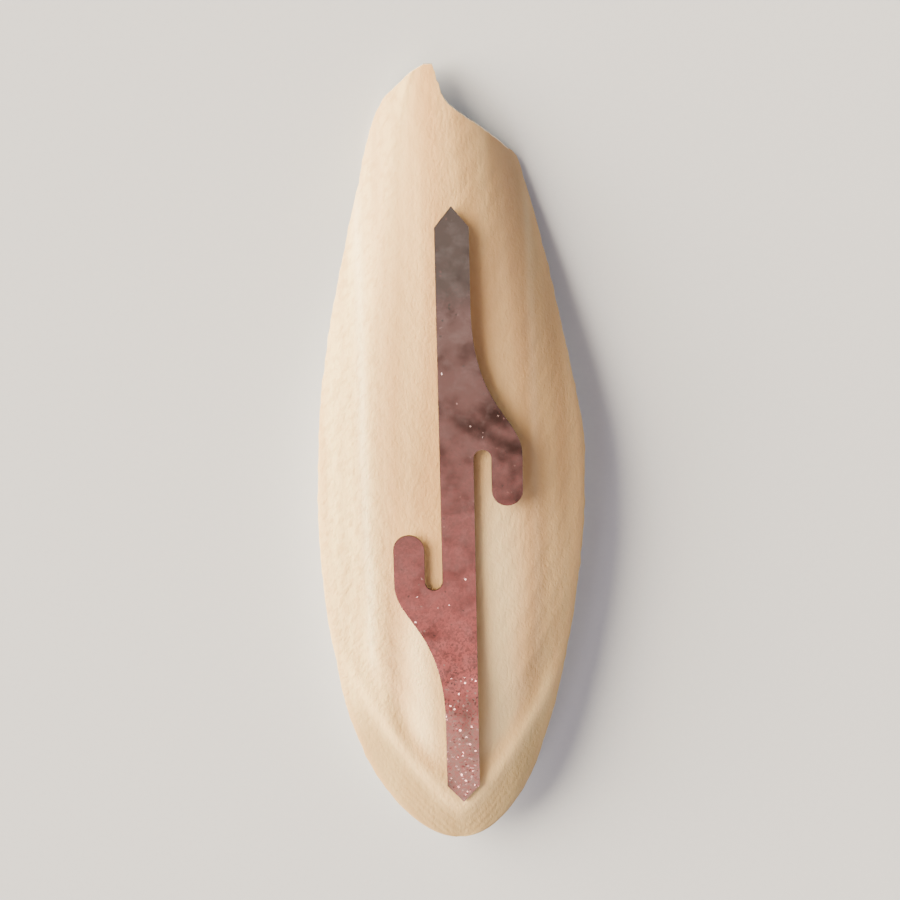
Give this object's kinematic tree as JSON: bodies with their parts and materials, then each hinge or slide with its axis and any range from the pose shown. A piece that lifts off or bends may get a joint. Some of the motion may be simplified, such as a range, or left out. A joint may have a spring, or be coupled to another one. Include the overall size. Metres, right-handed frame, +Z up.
{
  "type": "cuttlebone",
  "caption": "Dried cuttlebone lying hard side up, with a flat stamped sheet-metal holder clip along its back.",
  "frame": {"origin": "on the resting surface, below the middle of the object's box", "axes": "+Y along the bone towards its narrow hind end, +X across it, +Z up out of its hard back"},
  "size_m": [0.043, 0.127, 0.0139],
  "materials": {
    "bone": "matte",
    "tinplate": "polished"
  },
  "bodies": {
    "root": {"cuttlebone": "bone", "holder_clip": "tinplate"}
  },
  "joints": []
}
